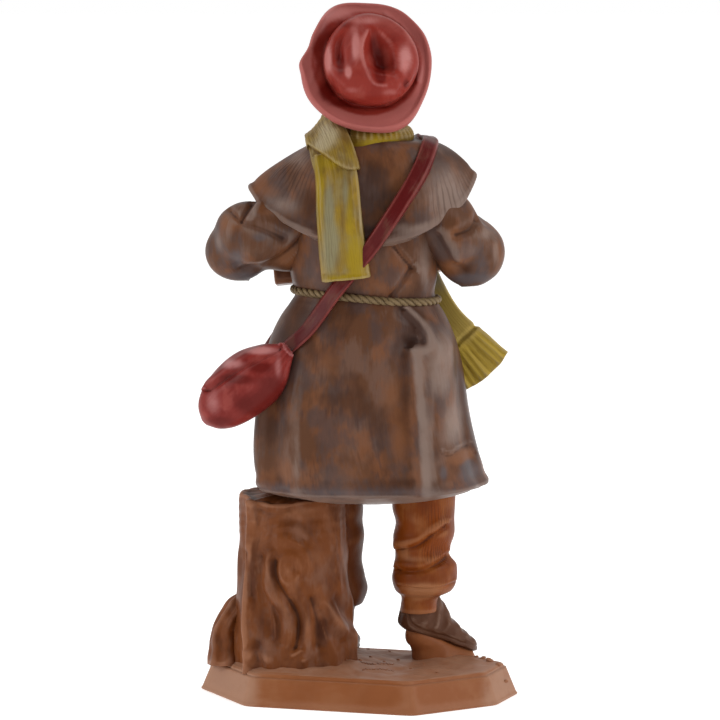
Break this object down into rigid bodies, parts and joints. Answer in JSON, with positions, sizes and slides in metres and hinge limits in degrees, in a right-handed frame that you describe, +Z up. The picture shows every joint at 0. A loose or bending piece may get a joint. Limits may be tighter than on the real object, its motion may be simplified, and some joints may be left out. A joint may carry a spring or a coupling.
{
  "type": "nativity accordion player figurine",
  "caption": "Painted one-piece crib figurine of an accordion player in a hat, scarf, caped coat and breeches, by a tree stump on a faceted base.",
  "frame": {"origin": "on the base's flat underside, under the middle of the figure's waist", "axes": "+Z up from the underside to the hat, -Y the way the figure faces, +X to the figure's left"},
  "size_m": [0.0551, 0.0362, 0.1197],
  "materials": {
    "painted_plastic": "hand-painted satin, brown wash in the hollows and dry-brushed highlights"
  },
  "bodies": {
    "root": {"accordion_player": "painted_plastic"}
  },
  "joints": []
}
